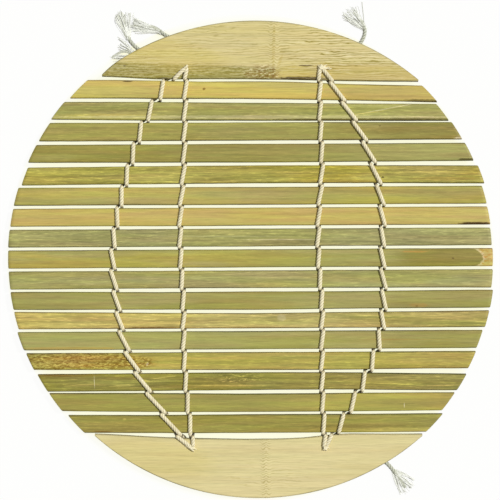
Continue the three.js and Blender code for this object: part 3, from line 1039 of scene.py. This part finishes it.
def directions(points):
    """Unit tangents of a route."""
    return unit(np.gradient(points, axis=0))


def lengths(points):
    return np.concatenate([[0.0], np.cumsum(np.linalg.norm(np.diff(points, axis=0), axis=1))])


def respaced(points, step):
    """The same route with points an even step apart."""
    along = lengths(points)
    places = np.linspace(0, along[-1], max(2, round(along[-1] / step) + 1))
    return np.stack([np.interp(places, along, points[:, k]) for k in range(3)], axis=1)


def rounded(corners, bend):
    """A route through the corners, with each turn rounded off."""
    corners = np.array(corners, float)
    steps = np.linspace(0, 1, BEND_STEPS)
    route = [corners[0]]
    for before, corner, after in zip(corners, corners[1:], corners[2:]):
        arms = np.array([before - corner, after - corner])
        near = min(bend, *(BEND_MOST * np.linalg.norm(arms, axis=1)))
        start, end = corner + unit(arms) * near
        route += [(1 - t) ** 2 * start + 2 * t * (1 - t) * corner + t ** 2 * end for t in steps]
    return np.array([*route, corners[-1]])


def smooth_route(points, count):
    """A smooth curve through given points."""
    points = np.asarray(points, float)
    ends = np.vstack([2 * points[0] - points[1], points, 2 * points[-1] - points[-2]])
    steps = np.linspace(0, 1, ROUTE_STEPS, endpoint=False)
    route = [spline(*ends[k:k + 4], p) for k in range(len(points) - 1) for p in steps]
    route = np.array([*route, points[-1]])
    return respaced(route, lengths(route)[-1] / (count - 1))


def ring_points(points, wide, tall, wide_reach, tall_reach):
    """Rings of points round a route, which reach out along two directions across it."""
    rings = points[:, None, :] + wide_reach[..., None] * wide[:, None, :]
    return rings + tall_reach[..., None] * tall[:, None, :]


def twine_rings(points, across, half_widths, half_heights):
    """Rings of laid twine along a route: each ply's ridge winds round the middle."""
    along = lengths(points)
    tangents = directions(points)
    wide = unit(across - (across * tangents).sum(1)[:, None] * tangents)
    turn = np.arange(TWINE_SIDES) * 2 * np.pi / TWINE_SIDES
    ply = 2 * np.pi / TWINE_PLIES
    off_ridge = np.abs((turn + ply / 2) % ply - ply / 2) / (ply / 2)
    reach = 1 - GROOVE_DEPTH * off_ridge ** GROOVE_SHARPNESS
    angle = (2 * np.pi * along / TWINE_LAY)[:, None] + turn[None, :]
    wide_reach = half_widths[:, None] * reach * np.cos(angle)
    tall_reach = half_heights[:, None] * reach * np.sin(angle)
    rings = ring_points(points, wide, np.cross(tangents, wide), wide_reach, tall_reach)
    grooves = np.broadcast_to(off_ridge, angle.shape)
    fibres = [along[:, None], turn[None, :] * TWINE_RADIUS, points[:, :1]]
    return rings, grooves, np.stack([np.broadcast_to(part, angle.shape) for part in fibres], axis=2)


def yarn_rings(points, start_radius, end_radius, shade=0.0):
    """A thin round yarn that narrows to its end, darker by a shade."""
    tangents = directions(points)
    wide = unit(np.cross(tangents, UP))
    turn = np.arange(YARN_SIDES) * 2 * np.pi / YARN_SIDES
    radius = np.linspace(start_radius, end_radius, len(points))[:, None]
    tall = np.cross(tangents, wide)
    rings = ring_points(points, wide, tall, radius * np.cos(turn), radius * np.sin(turn))
    return rings, np.full(rings.shape[:2], shade), rings + FIBRE_START


def up_the_mat(values, index):
    """The value that a column's list gives at a gap."""
    return MM * smooth_value(values, (GAP_Y[index] - GAP_Y[-1]) / (GAP_Y[0] - GAP_Y[-1]))


def face_of(strand, piece):
    """Whether a strand passes in front of (1) or behind (-1) a board or slat, counted from the top."""
    return 1 if (strand + piece) % 2 == 0 else -1


def strand_height(face):
    return MIDDLE + face * (HALF_THICK + FACE_HALVES[1] - TWINE_PRESS)


def column_corner(name, end):
    return next(c for c, hole in HOLES.items() if c.startswith(end) and name in hole[2])


def stem_place(name, end):
    """Where a column's twine passes through its cord hole, drawn towards the gap."""
    corner = column_corner(name, end)
    x, y = hole_place(corner)
    order = HOLES[corner][2].index(name)
    return x + (order - 0.5) * STEM_SPREAD, y - math.copysign(STEM_DRAW, y)


def strand_route(name, strand):
    """A strand from its top hole to its bottom hole, in front of and behind the slats by turns."""
    lean, apart, places = COLUMNS[name]
    top, bottom = stem_place(name, "top"), stem_place(name, "bottom")
    corners = [(*top, MIDDLE), (*top, strand_height(face_of(strand, 0)))]
    for index in range(LAST_GAP + 1):
        face = face_of(strand, index)
        x = up_the_mat(places, index) - face * lean * up_the_mat(apart, index)
        corners += [(x, gap_line(index, x), strand_height(side)) for side in (face, -face)]
    corners += [(*bottom, strand_height(face_of(strand, LAST_GAP + 1))), (*bottom, MIDDLE)]
    return respaced(rounded(corners, TWINE_BEND), TWINE_STEP)


def splits():
    """Where along y the strands are divided between pieces: on the boards and half way over each slat."""
    places = [(above + below) / 2 for above, below in zip(GAP_Y, GAP_Y[1:])]
    return [GAP_Y[0] + LACING_SPLIT, *places, GAP_Y[-1] - LACING_SPLIT]


def strand_rings(name, strand):
    """A strand's route and rings. Where it dips into a gap, its grooves fill with shade."""
    points = strand_route(name, strand)
    upright = np.abs(directions(points)[:, 2])
    halves = [face + (gap - face) * upright for face, gap in zip(FACE_HALVES, GAP_HALVES)]
    rings, grooves, fibres = twine_rings(points, ALONG, *halves)
    bend = np.clip((upright - BEND_SHADE_START) / (1 - BEND_SHADE_START), 0, 1)
    depth = np.clip(DEPTH_SHADE * (1 - np.abs(points[:, 2] - MIDDLE) / HALF_THICK), 0, 1)
    top, *_, bottom = splits()
    hidden = np.maximum(bend, depth) * (points[:, 1] < top) * (points[:, 1] > bottom)
    return points, (rings, np.maximum(grooves, FULL_SHADE * hidden[:, None]), fibres)


def add_twining(material):
    """The twining columns: one piece across each gap, and the lacings at the cord holes."""
    gaps = [[] for _ in GAP_Y]
    lacings = {corner: [] for corner in HOLES}
    for name in COLUMNS:
        for strand in (0, 1):
            points, rings = strand_rings(name, strand)
            cuts = [int(np.argmin(np.abs(points[:, 1] - y))) for y in splits()]
            for tubes, start, end in zip(gaps, cuts, cuts[1:]):
                tubes.append([ring[start:end + 1] for ring in rings])
            lacings[column_corner(name, "top")].append([ring[:cuts[0] + 1] for ring in rings])
            lacings[column_corner(name, "bottom")].append([ring[cuts[-1]:] for ring in rings])
    for index, tubes in enumerate(gaps):
        piece = tube_piece(f"twine_gap_{index:02d}", tubes, material)
        start = (0, GAP_Y[index] + BLEND_HALF, MIDDLE)
        end = (0, GAP_Y[index] - BLEND_HALF, MIDDLE)
        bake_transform(piece)
    for corner, tubes in lacings.items():
        piece = tube_piece(f"twine_lacing_{corner}", tubes, material)
        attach(piece, body_of(corner))
        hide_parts(f"lacing_{corner}")


def add_knot(corner, material):
    """A pulled-tight knot of twine where its plain solid is."""
    low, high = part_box(f"knot_{corner}")
    centre = np.array((low + high) / 2)
    squeeze = (high.z - low.z) / 2 / (KNOT_RING / 2 + KNOT_CORD)
    u = np.linspace(0, 2 * np.pi * KNOT_TURNS, KNOT_STEPS)
    reach = KNOT_RING * (2 + np.cos(KNOT_WAVES * u)) / 2
    turn = math.copysign(math.pi / 2, -centre[1])
    rise = squeeze * KNOT_RING * np.sin(KNOT_WAVES * u) / 2
    points = centre + np.stack([reach * np.cos(u + turn), reach * np.sin(u + turn), rise], axis=1)
    half = np.full(len(points), KNOT_CORD)
    tube = twine_rings(points, UP, half * squeeze, half)
    piece = tube_piece(f"twine_knot_{corner}", [tube], material)
    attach(piece, body_of(corner))
    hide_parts(f"knot_{corner}")


# Loose twine

def on_floor(places):
    """Places (x, y) in millimetres as points of a twine end that lies on the surface."""
    return [(x * MM, y * MM, TAIL_HEIGHT) for x, y in places]


def yarn_route(start, middle, tip, rng):
    """A loose, wavy yarn that leaves the bundle early and runs beside the others to its tip."""
    along = middle - start
    aside = np.cross(along / np.linalg.norm(along), UP)
    waves, phase = rng.uniform(*YARN_WAVES), rng.uniform(0, 2 * math.pi)
    t = np.linspace(0, 1, YARN_POINTS)[:, None]
    wave = YARN_WAVE * t * np.sin(2 * math.pi * waves * t + phase)
    points = start + t * along + (1 - (1 - t) ** SPREAD_EARLY) * (tip - middle) + wave * aside
    points[:, 2] = np.maximum(points[:, 2], YARN_LOWEST)
    return points


def add_fray(name, end, heading, material, rng):
    """The loose yarns of a free end spread to their tips, with finer hairs among them."""
    *_, yarns, tips = TAILS[name]
    fan = []
    middle = np.array([*np.mean(tips, axis=0) * MM, YARN_HEIGHT])
    for x, y in tips:
        for number in range(yarns + HAIRS_PER_TIP):
            hair = number >= yarns
            scatter = HAIR_SCATTER if hair else TIP_SCATTER
            off = np.array([rng.gauss(0, spread) for spread in (1, 1, START_FLAT)]) * START_SCATTER
            start = end - heading * BRUSH_OVERLAP + off
            aside, ahead = rng.gauss(0, scatter), rng.gauss(0, scatter)
            tip = np.array([x * MM + aside, y * MM + ahead, rng.uniform(*TIP_HEIGHTS)])
            radii = HAIR_RADII if hair else YARN_RADII
            shade = rng.uniform(0, 1) ** YARN_PALENESS
            fan.append(yarn_rings(yarn_route(start, middle, tip, rng), *radii, shade))
    for places in HAIRS.get(name, ()):
        hair = smooth_route(on_floor(places), YARN_POINTS)
        fan.append(yarn_rings(hair, *STRAY_RADII, STRAY_SHADE))
    return tube_piece(f"fray_{name}", fan, material)


def add_tail(name, twine, fray_tone, rng):
    """A free twine end: laid twine to where it frays, then loose yarns to their tips."""
    places, share, *_ = TAILS[name]
    route = smooth_route(on_floor(places), TAIL_POINTS)
    fine = respaced(route, TWINE_STEP)
    laid = fine[:int(share * len(fine))]
    half = np.full(len(laid), TWINE_RADIUS)
    heading = directions(fine)[len(laid) - 1]
    tubes = [twine_rings(laid, UP, half, half)]
    for k in range(CORE_YARNS):
        spread = UP * math.sin(k) + np.cross(heading, UP) * math.cos(k * CORE_TURN)
        core = fine[len(laid) - CORE_OVERLAP:] + spread * CORE_SPREAD
        core[:, 2] = np.maximum(core[:, 2] - np.linspace(0, CORE_SPREAD, len(core)), YARN_LOWEST)
        tubes.append(yarn_rings(core, *YARN_RADII))
    cord = tube_piece(f"twine_{name}", tubes, twine)
    fray = add_fray(name, laid[-1], heading, fray_tone, rng)
    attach(cord, body_of(name))
    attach(fray, body_of(name))
    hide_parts(name)


def add_tuft(corner, material, rng):
    """Short loose yarns that stick out over a cord hole and lie down on the board."""
    x, y = hole_place(corner)
    tuft = []
    for over, up in TUFTS[corner]:
        for _ in range(TUFT_YARNS):
            start, tip = [
                np.array([x + along * over * MM, y + along * up * MM, FACE + height])
                + [rng.gauss(0, TUFT_SCATTER), rng.gauss(0, TUFT_SCATTER), 0]
                for along, height in ((0.0, TUFT_RISE), (1.0, TUFT_FALL))
            ]
            bow = (start + tip) / 2 + [0, 0, TUFT_FALL]
            tuft.append(yarn_rings(smooth_route([start, bow, tip], YARN_POINTS), *TUFT_RADII))
    piece = tube_piece(f"twine_tuft_{corner}", tuft, material)
    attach(piece, body_of(corner))


def main():
    bpy.context.scene.view_settings.view_transform = "Standard"
    add_camera()
    rng = random.Random(RANDOM_SEED)
    twine = twine_material("cotton_twine", "twine", "twine_groove")
    tail = twine_material("cotton_tail", "twine", "twine_groove", ("tail", "tail_groove"))
    loose = twine_material("cotton_fray", "fray", "fray_shade")
    for name in TAILS:
        add_tail(name, tail, loose, rng)
    add_light()
    add_floor()
    for index, tones in enumerate(SLAT_TONES, 1):
        add_slat(index, bamboo_material(SLATS[index - 1], *tones, index))
    for index, end in enumerate(("top", "bottom")):
        add_board(end, bamboo_material(f"end_board_{end}", *BOARD_TONES[end], BOARD_SEED + index))
    add_twining(twine)
    for corner in KNOTS:
        add_knot(corner, twine)
    for corner in TUFTS:
        add_tuft(corner, twine, rng)


main()
